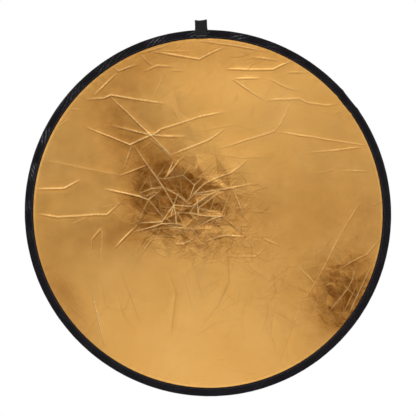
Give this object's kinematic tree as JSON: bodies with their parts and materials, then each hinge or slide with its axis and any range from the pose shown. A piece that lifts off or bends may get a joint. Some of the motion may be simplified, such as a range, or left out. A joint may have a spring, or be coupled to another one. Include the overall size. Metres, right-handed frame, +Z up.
{
  "type": "collapsible reflector disc",
  "caption": "Round two-sided cloth light reflector, gold in front and silver behind, held flat by a sprung steel hoop in a sewn binding, with a webbing hanging loop.",
  "frame": {"origin": "inside of the hanging loop's crown, where a hook carries the disc; the disc's centre is 315 mm below it", "axes": "+Z up through the hanging loop, +Y along the disc's axis towards the silver back, so the gold face looks along -Y, and +X to the right seen from the front"},
  "size_m": [0.6, 0.0092, 0.616],
  "materials": {
    "gold_cloth": "satin metallic gold coating on thin cloth, creased",
    "silver_cloth": "satin metallic silver coating on thin cloth, creased",
    "binding_tape": "black satin-faced tape",
    "thread": "black sewing thread",
    "spring_steel": "blued flat spring steel",
    "sleeve_metal": "plated, crimped",
    "wrap_plastic": "black shrink tube",
    "webbing": "matt black woven webbing"
  },
  "bodies": {
    "upper_half": {"gold_face_upper": "gold_cloth", "silver_back_upper": "silver_cloth", "binding_upper": "binding_tape", "front_seam_upper": "thread", "back_seam_upper": "thread", "spring_band_upper": "spring_steel", "splice_sleeve": "sleeve_metal", "splice_wrap": "wrap_plastic", "loop_tail_front": "webbing", "loop_tail_back": "webbing", "loop_tacks": "thread"},
    "lower_half": {"gold_face_lower": "gold_cloth", "silver_back_lower": "silver_cloth", "binding_lower": "binding_tape", "front_seam_lower": "thread", "back_seam_lower": "thread", "spring_band_lower": "spring_steel"},
    "loop": {"hang_loop": "webbing"}
  },
  "joints": [
    {"name": "disc_fold", "type": "hinge", "parent": "upper_half", "child": "lower_half", "pos_m": [0, -0.0037, -0.315], "axis": [-1, 0, 0], "range_deg": [0, 170], "stiffness_Nm_per_rad": 0.6},
    {"name": "loop_flop", "type": "hinge", "parent": "upper_half", "child": "loop", "pos_m": [0, 0, -0.0142], "axis": [1, 0, 0], "range_deg": [-60, 60], "stiffness_Nm_per_rad": 0.004}
  ]
}
